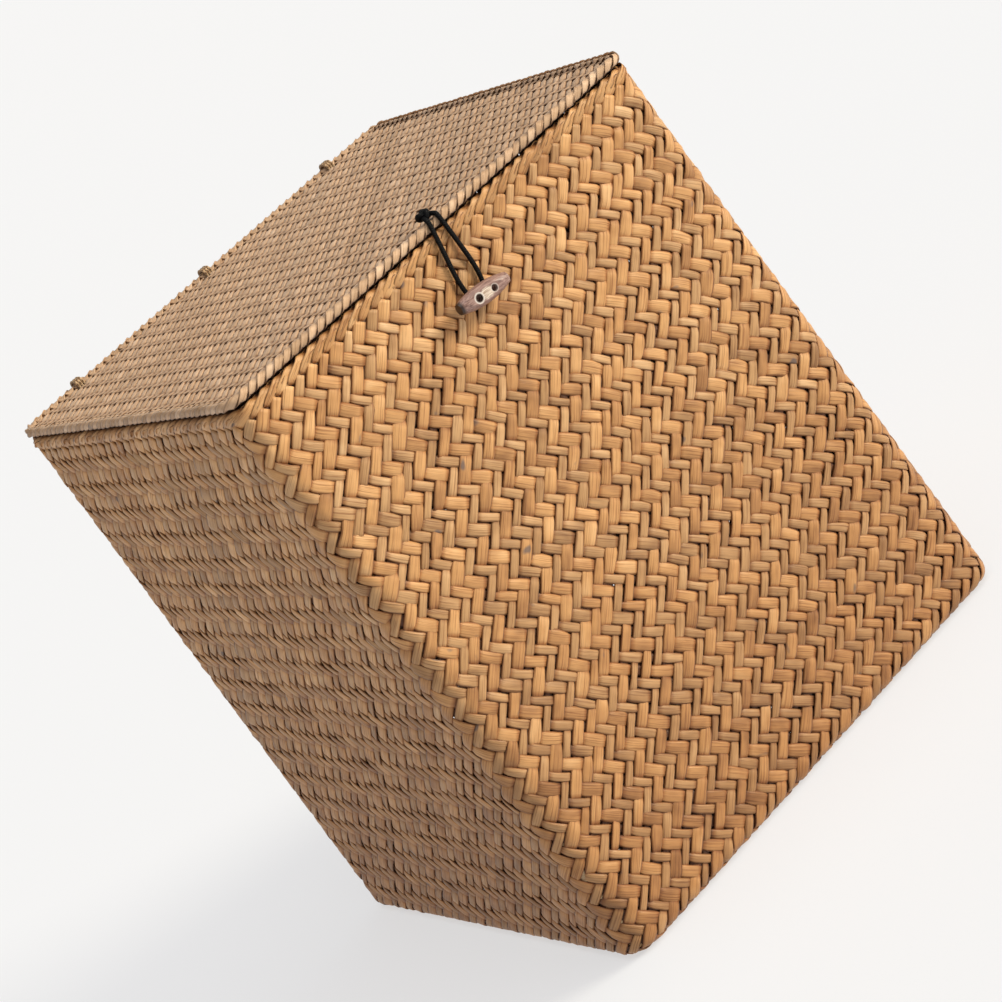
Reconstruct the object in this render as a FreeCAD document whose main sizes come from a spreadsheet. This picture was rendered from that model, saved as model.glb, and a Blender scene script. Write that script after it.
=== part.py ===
import FreeCAD
import Part
import Sketcher
import math
import os
import sys

# Woven laundry basket with a hinged woven lid, an elastic loop and a toggle.
# Millimetres. +Z is up, the front faces -Y, and the origin is the middle of the underside.

doc = FreeCAD.newDocument("laundry_basket")

# ---------------------------------------------------------------- sizes

SIZES = [
    ("rimWidth", 400, "outer width of the rim, left to right"),
    ("rimDepth", 376, "outer depth of the rim, front to back"),
    ("rimHeight", 480, "height of the rim's top above the floor"),
    ("footWidth", 424, "outer width at the floor"),
    ("footDepth", 408, "outer depth at the floor"),
    ("cornerRadius", 16, "outer radius of the upright corners"),
    ("wallThickness", 5, "two crossing layers of strand"),
    ("baseThickness", 5, "thickness of the woven floor"),
    ("foldHeight", 12, "height of the folded band at the rim"),
    ("foldThickness", 8.5, "thickness of the folded band, hoop included"),
    ("foldEdge", 2.5, "rounding of the folded band's edges"),
    ("hoopDiameter", 5, "cane hoop inside the rim and inside the lid's edge"),
    ("postDiameter", 8, "cane of the corner posts and of the base hoop"),
    ("postGap", 0.3, "slack between a post or the base hoop and the wall"),
    ("lashingThread", 1.2, "thickness of the thread round a post"),
    ("lashingHeight", 8, "height of one lashing"),
    ("lidGap", 1, "slack between the rim and the lid"),
    ("lidEdge", 8, "height and width of the lid's bound edge"),
    ("lidEdgeRound", 3, "rounding of the lid's bound edge"),
    ("lidPanelThickness", 5, "thickness of the lid's woven mat"),
    ("tieThickness", 2.5, "thickness of the cord of a hinge tie"),
    ("tieWidth", 7.5, "width of a hinge tie, three turns of cord"),
    ("tieSpacing", 140, "distance from one hinge tie to the next"),
    ("tieSlack", 0.5, "running clearance of the lid inside its ties"),
    ("elasticDiameter", 3.5, "diameter of the elastic cord"),
    ("elasticSlack", 0.5, "clearance between the elastic and what it lies against"),
    ("knotWidth", 13, "width of the elastic's knot"),
    ("knotLength", 12, "length of the elastic's knot, front to back"),
    ("knotHeight", 7.5, "height of the elastic's knot"),
    ("knotOffset", 1, "sideways place of the knot"),
    ("knotInset", 14.5, "distance of the knot's middle from the lid's front edge"),
    ("loopOffset", 1, "sideways place of the loop's middle where it passes the rim"),
    ("loopRimWidth", 10, "distance between the loop's two strands at the rim"),
    ("loopWidth", 18, "distance between the loop's two strands at the toggle"),
    ("toggleOffset", -8, "sideways place of the toggle"),
    ("toggleDrop", 50, "distance of the toggle's axis below the rim"),
    ("toggleLength", 44, "length of the toggle"),
    ("toggleDiameter", 15, "diameter of the toggle at its middle"),
    ("toggleEndDiameter", 8, "diameter of the toggle at its ends"),
    ("toggleTilt", 7, "tilt of the toggle in degrees, left end up"),
    ("toggleFlat", 1.6, "depth of the flat at the front of the toggle"),
    ("toggleHoleDiameter", 5, "diameter of the two eyes in the flat"),
    ("toggleHoleDepth", 5, "depth of the two eyes"),
    ("toggleHoleSpacing", 14, "distance between the two eyes"),
    ("toggleHoleOffset", 0, "distance of the eyes' middle from the toggle's middle"),
    ("threadDiameter", 3, "twisted thread that holds the toggle"),
    ("threadSlack", 0.1, "radial clearance of the thread in the toggle"),
    ("threadEmbed", 5, "length of the thread inside the toggle"),
    ("buttonDiameter", 18, "diameter of the button inside the wall"),
    ("buttonThickness", 2.5, "thickness of the button inside the wall"),
]

sheet = doc.addObject("Spreadsheet::Sheet", "sizes")
size = {}
for row, (alias, value, note) in enumerate(SIZES, start=1):
    sheet.set("A%d" % row, note)
    sheet.set("B%d" % row, str(value))
    sheet.setAlias("B%d" % row, alias)
doc.recompute()
for alias, value, note in SIZES:
    size[alias] = float(sheet.get(alias))

parts = []


def keep(piece, label):
    """Label a finished piece and list it for export."""
    piece.Label = label
    parts.append(piece)
    return piece


# ---------------------------------------------------------------- sketch helpers

def newBody(name):
    return doc.addObject("PartDesign::Body", name)


def newSketch(body, name, plane, x="", y="", z=""):
    """A sketch on one of the body's own origin planes, moved by three expressions."""
    sketch = body.newObject("Sketcher::SketchObject", name)
    support = [face for face in body.Origin.OriginFeatures if face.Role == plane][0]
    sketch.AttachmentSupport = (support, [""])
    sketch.MapMode = "FlatFace"
    for axis, expression in (("x", x), ("y", y), ("z", z)):
        if expression:
            sketch.setExpression("AttachmentOffset.Base." + axis, expression)
    return sketch


def point(x, y):
    return FreeCAD.Vector(x, y, 0)


def bind(sketch, constraint, expression):
    """Add a named dimension to a sketch and bind it to an expression."""
    index = sketch.addConstraint(constraint)
    sketch.setExpression("Constraints[%d]" % index, expression)


def roundedRectangle(sketch, width, depth, radius):
    """Rounded rectangle about the sketch's origin. It starts at the middle of the +x side."""
    a, b, r = 50, 40, 5
    up = FreeCAD.Vector(0, 0, 1)
    half = math.pi / 2
    first = sketch.GeometryCount
    corners = [(a - r, b - r), (r - a, b - r), (r - a, r - b), (a - r, r - b)]
    ends = [(a, 0), (a, b - r), (a - r, b), (r - a, b), (-a, b - r),
            (-a, r - b), (r - a, -b), (a - r, -b), (a, r - b), (a, 0)]
    for k in range(4):
        sketch.addGeometry(Part.LineSegment(point(*ends[2 * k]), point(*ends[2 * k + 1])), False)
        circle = Part.Circle(point(*corners[k]), up, r)
        sketch.addGeometry(Part.ArcOfCircle(circle, k * half, (k + 1) * half), False)
    sketch.addGeometry(Part.LineSegment(point(*ends[8]), point(*ends[9])), False)
    for k in range(8):
        sketch.addConstraint(Sketcher.Constraint("Tangent", first + k, 2, first + k + 1, 1))
    sketch.addConstraint(Sketcher.Constraint("Coincident", first, 1, first + 8, 2))
    sketch.addConstraint(Sketcher.Constraint("PointOnObject", first, 1, -1))
    for k in (0, 4, 8):
        sketch.addConstraint(Sketcher.Constraint("Vertical", first + k))
    for k in (2, 6):
        sketch.addConstraint(Sketcher.Constraint("Horizontal", first + k))
    for k in (3, 5, 7):
        sketch.addConstraint(Sketcher.Constraint("Equal", first + 1, first + k))
    sketch.addConstraint(Sketcher.Constraint("Symmetric", first + 1, 3, first + 5, 3, -1, 1))
    bind(sketch, Sketcher.Constraint("Radius", first + 1, r), radius)
    bind(sketch, Sketcher.Constraint("DistanceX", first + 4, 1, first, 1, 2 * a), width)
    bind(sketch, Sketcher.Constraint("DistanceY", first + 6, 1, first + 2, 1, 2 * b), depth)


def circle(sketch, radius):
    """A circle about the sketch's origin."""
    index = sketch.addGeometry(Part.Circle(point(0, 0), FreeCAD.Vector(0, 0, 1), 2), False)
    bind(sketch, Sketcher.Constraint("Radius", index, 2), radius)
    sketch.addConstraint(Sketcher.Constraint("Coincident", index, 3, -1, 1))


def pad(body, sketch, length):
    feature = body.newObject("PartDesign::Pad", sketch.Name + "Pad")
    feature.Profile = sketch
    feature.setExpression("Length", length)
    return feature


def pocket(body, sketch, length, reverse=False):
    """Cut a sketch into the body and check that it took something away."""
    doc.recompute()
    before = body.Shape.Volume
    feature = body.newObject("PartDesign::Pocket", sketch.Name + "Pocket")
    feature.Profile = sketch
    feature.Reversed = reverse
    feature.setExpression("Length", length)
    doc.recompute()
    if body.Shape.Volume >= before:
        sys.exit(sketch.Name + " cuts nothing")
    return feature


def loft(body, kind, lower, upper):
    feature = body.newObject("PartDesign::" + kind, lower.Name + "Loft")
    feature.Profile = lower
    feature.Sections = [upper]
    feature.Ruled = True
    return feature


def pipe(body, kind, profile, path):
    """Carry a profile along a closed path, and check that it changed the body."""
    doc.recompute()
    before = body.Shape.Volume if body.Tip else 0
    feature = body.newObject("PartDesign::" + kind, profile.Name + "Pipe")
    feature.Profile = profile
    feature.Spine = path
    doc.recompute()
    if abs(body.Shape.Volume - before) < 1:
        sys.exit(profile.Name + " changes nothing")


def hoop(label, width, depth, radius, level, outline, hole=""):
    """A closed ring: an outline, with an optional round channel, carried along a rounded rectangle."""
    body = newBody(label)
    path = newSketch(body, label + "Path", "XY_Plane", z=level)
    roundedRectangle(path, width, depth, radius)
    profile = newSketch(body, label + "Profile", "XZ_Plane", x="(%s) / 2" % width, y=level)
    outline(profile)
    pipe(body, "AdditivePipe", profile, path)
    if hole:
        channel = newSketch(body, label + "Channel", "XZ_Plane", x="(%s) / 2" % width, y=level)
        circle(channel, hole)
        pipe(body, "SubtractivePipe", channel, path)
    return keep(body, label)


# ---------------------------------------------------------------- basket: woven skin

foldLevel = "(sizes.rimHeight - sizes.foldHeight)"

wall = newBody("wovenWall")
outerFoot = newSketch(wall, "wallOuterFoot", "XY_Plane")
roundedRectangle(outerFoot, "sizes.footWidth", "sizes.footDepth", "sizes.cornerRadius")
outerHead = newSketch(wall, "wallOuterHead", "XY_Plane", z=foldLevel)
roundedRectangle(outerHead, "sizes.rimWidth", "sizes.rimDepth", "sizes.cornerRadius")
loft(wall, "AdditiveLoft", outerFoot, outerHead)
innerRadius = "sizes.cornerRadius - sizes.wallThickness"
innerFoot = newSketch(wall, "wallInnerFoot", "XY_Plane")
roundedRectangle(innerFoot, "sizes.footWidth - 2 * sizes.wallThickness",
                 "sizes.footDepth - 2 * sizes.wallThickness", innerRadius)
innerHead = newSketch(wall, "wallInnerHead", "XY_Plane", z=foldLevel)
roundedRectangle(innerHead, "sizes.rimWidth - 2 * sizes.wallThickness",
                 "sizes.rimDepth - 2 * sizes.wallThickness", innerRadius)
loft(wall, "SubtractiveLoft", innerFoot, innerHead)
keep(wall, "woven_wall")


def insideAt(foot, rim, level):
    """Expression for the wall's inner width or depth at a level."""
    lean = "(sizes.{0} - sizes.{1}) * ({2}) / {3}".format(foot, rim, level, foldLevel)
    return "(sizes.%s - 2 * sizes.wallThickness - %s)" % (foot, lean)


def insideBase(foot, rim):
    """Expression for the wall's narrowest inner width or depth beside the base."""
    return "min(%s; %s)" % (insideAt(foot, rim, "0"), insideAt(foot, rim, "sizes.baseThickness"))


base = newBody("wovenBase")
baseOutline = newSketch(base, "baseOutline", "XY_Plane")
roundedRectangle(baseOutline, insideBase("footWidth", "rimWidth"),
                 insideBase("footDepth", "rimDepth"), innerRadius)
pad(base, baseOutline, "sizes.baseThickness")
keep(base, "woven_base")

foldMiddle = "(sizes.rimHeight - sizes.foldHeight / 2)"
foldWidth = "sizes.rimWidth - sizes.foldThickness"
foldDepth = "sizes.rimDepth - sizes.foldThickness"
foldRadius = "sizes.cornerRadius - sizes.foldThickness / 2"
hoop("rim_fold", foldWidth, foldDepth, foldRadius, foldMiddle,
     lambda profile: roundedRectangle(profile, "sizes.foldThickness", "sizes.foldHeight",
                                      "sizes.foldEdge"),
     hole="sizes.hoopDiameter / 2")

# ---------------------------------------------------------------- basket: cane frame

hoop("top_hoop", foldWidth, foldDepth, foldRadius, foldMiddle,
     lambda profile: circle(profile, "sizes.hoopDiameter / 2"))

frameInset = "(sizes.postDiameter / 2 + sizes.postGap)"
frameRadius = "(sizes.cornerRadius - sizes.wallThickness - %s)" % frameInset
baseHoopLevel = "(sizes.baseThickness + sizes.postDiameter / 2)"
baseHoopTop = "(sizes.baseThickness + sizes.postDiameter)"
hoop("base_hoop",
     "%s - 2 * %s" % (insideAt("footWidth", "rimWidth", baseHoopTop), frameInset),
     "%s - 2 * %s" % (insideAt("footDepth", "rimDepth", baseHoopTop), frameInset),
     frameRadius, baseHoopLevel,
     lambda profile: circle(profile, "sizes.postDiameter / 2"))

cornerInset = "(%s + %s * (1 - cos(45)))" % (frameInset, frameRadius)


def cornerPost(label, side, across):
    """A leaning cane from the base hoop up to the underside of the rim."""
    body = newBody(label)
    ends = []
    for name, level in (("Low", baseHoopTop), ("High", foldLevel)):
        x = "%d * (%s / 2 - %s)" % (side, insideAt("footWidth", "rimWidth", level), cornerInset)
        y = "%d * (%s / 2 - %s)" % (across, insideAt("footDepth", "rimDepth", level), cornerInset)
        end = newSketch(body, label + name, "XY_Plane", x=x, y=y, z=level)
        circle(end, "sizes.postDiameter / 2")
        ends.append(end)
    doc.recompute()
    loft(body, "AdditiveLoft", ends[0], ends[1])
    return keep(body, label)


posts = []
for across, end in ((-1, "front"), (1, "back")):
    for side, hand in ((-1, "left"), (1, "right")):
        posts.append(cornerPost("corner_post_%s_%s" % (end, hand), side, across))
doc.recompute()


def lashings(label, count):
    """Rings of thread that tie each post to the wall, spread evenly up the post."""
    rings = []
    for post in posts:
        box = post.Shape.BoundBox
        faces = [face for face in post.Shape.Faces if abs(face.normalAt(0, 0).z) > 0.999]
        faces.sort(key=lambda face: face.CenterOfMass.z)
        low = faces[0].CenterOfMass
        run = faces[-1].CenterOfMass - low
        inner = size["postDiameter"] / 2
        outer = inner + size["lashingThread"]
        for k in range(count):
            place = low + run * ((k + 0.5) / count)
            tube = Part.makeCylinder(outer, size["lashingHeight"], place, run)
            rings.append(tube.cut(Part.makeCylinder(inner, size["lashingHeight"], place, run)))
    feature = doc.addObject("Part::Feature", label)
    feature.Shape = Part.makeCompound(rings)
    return keep(feature, label)


lashings("post_lashings", 4)

# ---------------------------------------------------------------- lid

lidMiddle = "(sizes.rimHeight + sizes.lidGap + sizes.lidEdge / 2)"
lidWidth = "(sizes.rimWidth - sizes.lidEdge)"
lidDepth = "(sizes.rimDepth - sizes.lidEdge)"
lidRadius = "(sizes.cornerRadius - sizes.lidEdge / 2)"
hoop("lid_binding", lidWidth, lidDepth, lidRadius, lidMiddle,
     lambda profile: roundedRectangle(profile, "sizes.lidEdge", "sizes.lidEdge",
                                      "sizes.lidEdgeRound"),
     hole="sizes.hoopDiameter / 2")
hoop("lid_hoop", lidWidth, lidDepth, lidRadius, lidMiddle,
     lambda profile: circle(profile, "sizes.hoopDiameter / 2"))

# The ties are centred on the lid's back cane, which is the hinge axis. The rounded square edge
# turns inside them, so their inner face clears its corner.
edgeReach = "((sizes.lidEdge / 2 - sizes.lidEdgeRound) * sqrt(2) + sizes.lidEdgeRound)"
tieReach = "(%s + sizes.tieSlack + sizes.tieThickness / 2)" % edgeReach
tieBend = "(sizes.foldEdge + sizes.tieSlack + sizes.tieThickness / 2)"
hingeDepth = "(%s / 2)" % lidDepth

# The panel turns about the same axis, so its slots clear the ties' rounded corners.
slotReach = "((%s - %s) * sqrt(2) + %s + sizes.tieThickness / 2 + sizes.tieSlack)" % (
    tieReach, tieBend, tieBend)

panel = newBody("lidPanel")
panelOutline = newSketch(panel, "panelOutline", "XY_Plane",
                         z=lidMiddle + " - sizes.lidPanelThickness / 2")
roundedRectangle(panelOutline, "sizes.rimWidth - 2 * sizes.lidEdge",
                 "sizes.rimDepth - 2 * sizes.lidEdge", "sizes.cornerRadius - sizes.lidEdge")
pad(panel, panelOutline, "sizes.lidPanelThickness")
for place, hand in ((-1, "Left"), (0, "Middle"), (1, "Right")):
    slot = newSketch(panel, "tieSlot" + hand, "XY_Plane", x="%d * sizes.tieSpacing" % place,
                     y=hingeDepth, z=lidMiddle + " + sizes.lidPanelThickness / 2")
    roundedRectangle(slot, "sizes.tieWidth + 2 * sizes.tieSlack", "2 * " + slotReach, "0.5")
    pocket(panel, slot, "sizes.lidPanelThickness")
keep(panel, "lid_panel")

# ---------------------------------------------------------------- hinge ties

tieTop = "(%s + %s)" % (lidMiddle, tieReach)
tieLow = "(%s - sizes.tieSlack - sizes.tieThickness / 2)" % foldLevel
for place, hand in ((-1, "left"), (0, "middle"), (1, "right")):
    label = "hinge_tie_" + hand
    tie = newBody(label)
    across = "%d * sizes.tieSpacing" % place
    middle = "(%s + %s) / 2" % (tieTop, tieLow)
    tiePath = newSketch(tie, label + "Path", "YZ_Plane", x=hingeDepth, y=middle, z=across)
    roundedRectangle(tiePath, "2 * " + tieReach, "%s - %s" % (tieTop, tieLow), tieBend)
    tieProfile = newSketch(tie, label + "Profile", "XY_Plane", x=across,
                           y="%s + %s" % (hingeDepth, tieReach), z=middle)
    roundedRectangle(tieProfile, "sizes.tieWidth", "sizes.tieThickness", "sizes.tieThickness / 2.5")
    pipe(tie, "AdditivePipe", tieProfile, tiePath)
    keep(tie, label)

# ---------------------------------------------------------------- toggle, thread and button

toggleLevel = "(sizes.rimHeight - sizes.toggleDrop)"
frontFace = "((sizes.rimDepth + (sizes.footDepth - sizes.rimDepth) * (1 - {0} / {1})) / 2)".format(
    toggleLevel, foldLevel)
loopFace = "(%s + sizes.elasticSlack + sizes.elasticDiameter / 2)" % frontFace
toggleFace = ("(%s + sizes.elasticDiameter / 2 + sizes.elasticSlack + sizes.toggleDiameter / 2)"
              % loopFace)
buttonFace = "(%s - sizes.wallThickness - sizes.postGap)" % frontFace

toggle = newBody("toggleBarrel")
profile = newSketch(toggle, "barrelProfile", "XZ_Plane")
# Half a barrel: a long arc between two small ends, turned about the sketch's x axis.
reach, low, high = 20, 4, 7
arc = Part.Arc(FreeCAD.Vector(-reach, low, 0), FreeCAD.Vector(0, high, 0),
               FreeCAD.Vector(reach, low, 0))
profile.addGeometry(Part.LineSegment(point(-reach, 0), point(reach, 0)), False)
profile.addGeometry(Part.LineSegment(point(reach, 0), point(reach, low)), False)
profile.addGeometry(arc, False)
profile.addGeometry(Part.LineSegment(point(-reach, low), point(-reach, 0)), False)
profile.addConstraint(Sketcher.Constraint("Coincident", 0, 2, 1, 1))
profile.addConstraint(Sketcher.Constraint("Coincident", 3, 2, 0, 1))
profile.addConstraint(Sketcher.Constraint("Coincident", 1, 2, 2, 1))
profile.addConstraint(Sketcher.Constraint("Coincident", 2, 2, 3, 1))
profile.addConstraint(Sketcher.Constraint("Symmetric", 0, 1, 0, 2, -1, 1))
profile.addConstraint(Sketcher.Constraint("Horizontal", 0))
profile.addConstraint(Sketcher.Constraint("Vertical", 1))
profile.addConstraint(Sketcher.Constraint("Vertical", 3))
profile.addConstraint(Sketcher.Constraint("Equal", 1, 3))
bind(profile, Sketcher.Constraint("DistanceX", 0, 1, 0, 2, 2 * reach), "sizes.toggleLength")
bind(profile, Sketcher.Constraint("DistanceY", 1, 1, 1, 2, low), "sizes.toggleEndDiameter / 2")
swell = "((sizes.toggleDiameter - sizes.toggleEndDiameter) / 2)"
bind(profile, Sketcher.Constraint("Radius", 2, arc.toShape().Curve.Radius),
     "((sizes.toggleLength / 2) ^ 2 + {0} ^ 2) / (2 * {0})".format(swell))
doc.recompute()
barrel = toggle.newObject("PartDesign::Revolution", "barrel")
barrel.Profile = profile
barrel.ReferenceAxis = (profile, ["H_Axis"])
barrel.Angle = 360
doc.recompute()
flat = newSketch(toggle, "barrelFlat", "XZ_Plane", z="sizes.toggleDiameter / 2")
roundedRectangle(flat, "sizes.toggleLength * 1.2", "sizes.toggleDiameter", "1")
pocket(toggle, flat, "sizes.toggleFlat")
for side in (-1, 1):
    eye = newSketch(toggle, "eye%d" % (side + 1), "XZ_Plane", z="sizes.toggleDiameter / 2",
                    x="sizes.toggleHoleOffset + %d * sizes.toggleHoleSpacing / 2" % side)
    circle(eye, "sizes.toggleHoleDiameter / 2")
    pocket(toggle, eye, "sizes.toggleFlat + sizes.toggleHoleDepth")
threadHole = newSketch(toggle, "threadHole", "XZ_Plane", z="-sizes.toggleDiameter / 2")
circle(threadHole, "sizes.threadDiameter / 2 + sizes.threadSlack")
pocket(toggle, threadHole, "sizes.threadEmbed + sizes.threadSlack", reverse=True)
toggle.Placement = FreeCAD.Placement(FreeCAD.Vector(), FreeCAD.Rotation(FreeCAD.Vector(0, 1, 0), 1))
toggle.setExpression("Placement.Base.x", "sizes.toggleOffset")
toggle.setExpression("Placement.Base.y", "-" + toggleFace)
toggle.setExpression("Placement.Base.z", toggleLevel)
toggle.setExpression("Placement.Rotation.Angle", "sizes.toggleTilt")
keep(toggle, "toggle")

threadTip = "(%s - sizes.toggleDiameter / 2 + sizes.threadEmbed)" % toggleFace
thread = newBody("toggleThread")
threadEnd = newSketch(thread, "threadEnd", "XZ_Plane", x="sizes.toggleOffset", y=toggleLevel,
                      z=buttonFace)
circle(threadEnd, "sizes.threadDiameter / 2")
pad(thread, threadEnd, "%s - %s" % (threadTip, buttonFace))
keep(thread, "toggle_thread")

button = newBody("backingButton")
buttonDisc = newSketch(button, "buttonDisc", "XZ_Plane", x="sizes.toggleOffset", y=toggleLevel,
                       z=buttonFace + " - sizes.buttonThickness")
circle(buttonDisc, "sizes.buttonDiameter / 2")
pad(button, buttonDisc, "sizes.buttonThickness")
keep(button, "backing_button")

# ---------------------------------------------------------------- elastic

panelTop = "(%s + sizes.lidPanelThickness / 2)" % lidMiddle
knot = doc.addObject("Part::Ellipsoid", "elasticKnot")
knot.setExpression("Radius1", "sizes.knotHeight / 2")
knot.setExpression("Radius2", "sizes.knotWidth / 2")
knot.setExpression("Radius3", "sizes.knotLength / 2")
knot.setExpression("Placement.Base.x", "sizes.knotOffset")
knot.setExpression("Placement.Base.y", "sizes.knotInset - sizes.rimDepth / 2")
knot.setExpression("Placement.Base.z", panelTop + " + sizes.knotHeight / 2")
keep(knot, "elastic_knot")
doc.recompute()


def loopRoute():
    """The elastic's route: out of the knot, over the lid's front edge, round the thread and back."""
    radius = size["elasticDiameter"] / 2
    off = size["elasticSlack"] + radius
    top = knot.Placement.Base.z - size["knotHeight"] / 2 - size["lidPanelThickness"] / 2
    top += size["lidEdge"] / 2 + off
    edge = -size["rimDepth"] / 2
    # Two equal turns carry the elastic round the lid's rounded edge without touching it.
    bevel = (2 - math.sqrt(2)) * (size["lidEdgeRound"] + off)
    knotFace = edge + size["knotInset"] - size["knotLength"] / 2 - off / 2
    low = size["rimHeight"] - size["toggleDrop"]
    low -= size["threadDiameter"] / 2 + off
    face = toggle.Placement.Base.y + size["toggleDiameter"] / 2 + off
    route = []
    for side in (-1, 1):
        knotX = size["knotOffset"] + side * size["elasticDiameter"] * 0.7
        rimX = size["loopOffset"] + side * size["loopRimWidth"] / 2
        loopX = size["toggleOffset"] + side * size["loopWidth"] / 2
        strand = [(knotX, knotFace, top),
                  (rimX, edge - off + bevel, top),
                  (rimX, edge - off, top - bevel),
                  (loopX, face, low)]
        route.append(strand)
    return [FreeCAD.Vector(*place) for place in route[0] + route[1][::-1]]


def roundedTube(points, radius, label):
    """A tube along straight runs joined by arcs as large as the runs allow."""
    edges = []
    start = points[0]
    for before, corner, after in zip(points, points[1:], points[2:]):
        back = before - corner
        ahead = after - corner
        half = (math.pi - back.getAngle(ahead)) / 2
        trim = 0.45 * min(back.Length, ahead.Length)
        bend = trim / math.tan(half)
        print("%s: turn %.0f degrees, radius %.1f mm" % (label, math.degrees(2 * half), bend))
        back.normalize()
        ahead.normalize()
        enter = corner + back * trim
        leave = corner + ahead * trim
        middle = (back + ahead).normalize()
        summit = corner + middle * (bend / math.cos(half) - bend)
        edges.append(Part.LineSegment(start, enter).toShape())
        edges.append(Part.Arc(enter, summit, leave).toShape())
        start = leave
    edges.append(Part.LineSegment(start, points[-1]).toShape())
    path = Part.Wire(edges)
    section = Part.Wire(Part.Circle(points[0], points[1] - points[0], radius).toShape())
    tube = path.makePipeShell([section], True, True)
    ideal = math.pi * radius ** 2 * path.Length
    print("%s: length %.1f mm, volume %.0f of %.0f mm3" % (label, path.Length, tube.Volume, ideal))
    return tube


elastic = doc.addObject("Part::Feature", "elasticLoop")
elastic.Shape = roundedTube(loopRoute(), size["elasticDiameter"] / 2, "elastic_loop")
keep(elastic, "elastic_loop")

# ---------------------------------------------------------------- checks and export

doc.recompute()
faults = [thing.Name for thing in doc.Objects
          if "Invalid" in thing.State or "Error" in thing.State]
faults += [piece.Label for piece in parts if piece.Shape.isNull() or not piece.Shape.isValid()]
if faults:
    sys.exit("faulty: " + ", ".join(faults))

os.makedirs("parts", exist_ok=True)
for piece in parts:
    piece.Shape.exportStep("parts/%s.step" % piece.Label)
print("%d pieces" % len(parts))
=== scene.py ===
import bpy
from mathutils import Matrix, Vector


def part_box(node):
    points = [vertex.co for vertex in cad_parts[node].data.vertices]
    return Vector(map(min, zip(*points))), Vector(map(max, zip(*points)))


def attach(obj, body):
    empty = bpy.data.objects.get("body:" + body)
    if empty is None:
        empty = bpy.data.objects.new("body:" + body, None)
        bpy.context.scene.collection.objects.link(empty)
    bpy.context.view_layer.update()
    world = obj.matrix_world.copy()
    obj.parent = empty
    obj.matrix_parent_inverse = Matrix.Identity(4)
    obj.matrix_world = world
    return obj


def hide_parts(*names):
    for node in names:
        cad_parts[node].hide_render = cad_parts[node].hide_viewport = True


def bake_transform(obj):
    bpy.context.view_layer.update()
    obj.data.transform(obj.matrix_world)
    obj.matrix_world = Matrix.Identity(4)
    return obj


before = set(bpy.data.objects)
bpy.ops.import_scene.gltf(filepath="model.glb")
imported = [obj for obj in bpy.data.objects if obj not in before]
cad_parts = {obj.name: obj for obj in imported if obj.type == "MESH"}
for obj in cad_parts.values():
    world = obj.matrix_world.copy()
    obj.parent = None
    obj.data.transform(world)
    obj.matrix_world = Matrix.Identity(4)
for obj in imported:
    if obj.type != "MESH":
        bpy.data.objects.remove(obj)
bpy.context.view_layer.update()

import math

import bpy
import numpy as np
from mathutils import Matrix, Vector

# Plaited rush laundry basket. Lengths are in metres, +Z is up and the front faces -Y.

random = np.random.default_rng(7)
millimetre = 0.001
upward = np.array([0.0, 0.0, 1.0])


cameraSetup = {
    "location": (-0.8518, -1.8597, 0.8979),
    "azimuth": -24.72,    # degrees, 0 looks along +Y
    "elevation": 17.71,
    "roll": -36.32,
    "lens": 102.03,       # millimetres, as is the sensor
    "sensor": 36.0,
    "reach": 200.0,
}

sunSetup = {    # direction is from the basket towards the light, angle is in degrees
    "key": {"direction": (0.74, -0.58, 0.36), "angle": 24, "strength": 3.2, "colour": (1.0, 0.93, 0.76)},
    "top": {"direction": (0.15, -0.25, 1.0), "angle": 60, "strength": 1.3, "colour": (1.0, 0.98, 0.95)},
}
skySetup = {"colour": (0.96, 0.95, 1.0), "strength": 0.30}
floorSetup = {"halfSize": 30.0, "colour": (0.32, 0.325, 0.335), "glow": 0.57}


def placeCamera(setup):
    # The camera looks along minus "back", then rolls about its own line of sight.
    azimuth, elevation, roll = [math.radians(setup[k]) for k in ("azimuth", "elevation", "roll")]
    back = Vector((math.sin(azimuth) * math.cos(elevation),
                   -math.cos(azimuth) * math.cos(elevation), math.sin(elevation)))
    level = (-back).cross(Vector(upward)).normalized()
    right = level * math.cos(roll) + level.cross(-back) * math.sin(roll)
    up = back.cross(right)
    data = bpy.data.cameras.new("viewCamera")
    data.lens = setup["lens"]
    data.sensor_width = setup["sensor"]
    data.clip_end = setup["reach"]
    camera = bpy.data.objects.new("viewCamera", data)
    camera.matrix_world = Matrix.Translation(setup["location"]) @ Matrix(
        (right, up, back)).transposed().to_4x4()
    bpy.context.scene.collection.objects.link(camera)
    bpy.context.scene.camera = camera


def placeSun(name, setup):
    data = bpy.data.lights.new(name, "SUN")
    data.angle = math.radians(setup["angle"])
    data.energy = setup["strength"]
    data.color = setup["colour"]
    sun = bpy.data.objects.new(name, data)
    towards = Vector(setup["direction"])
    sun.matrix_world = Matrix.Translation(towards * 2) @ (-towards).to_track_quat(
        "-Z", "Y").to_matrix().to_4x4()
    bpy.context.scene.collection.objects.link(sun)


def placeSky(setup):
    world = bpy.data.worlds.new("softSky")
    world.use_nodes = True
    sky = world.node_tree.nodes["Background"]
    sky.inputs["Color"].default_value = (*setup["colour"], 1)
    sky.inputs["Strength"].default_value = setup["strength"]
    bpy.context.scene.world = world


placeCamera(cameraSetup)
for name, setup in sunSetup.items():
    placeSun(name, setup)
placeSky(skySetup)
bpy.context.scene.view_settings.view_transform = "Standard"
print("camera and lights ready")


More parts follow.
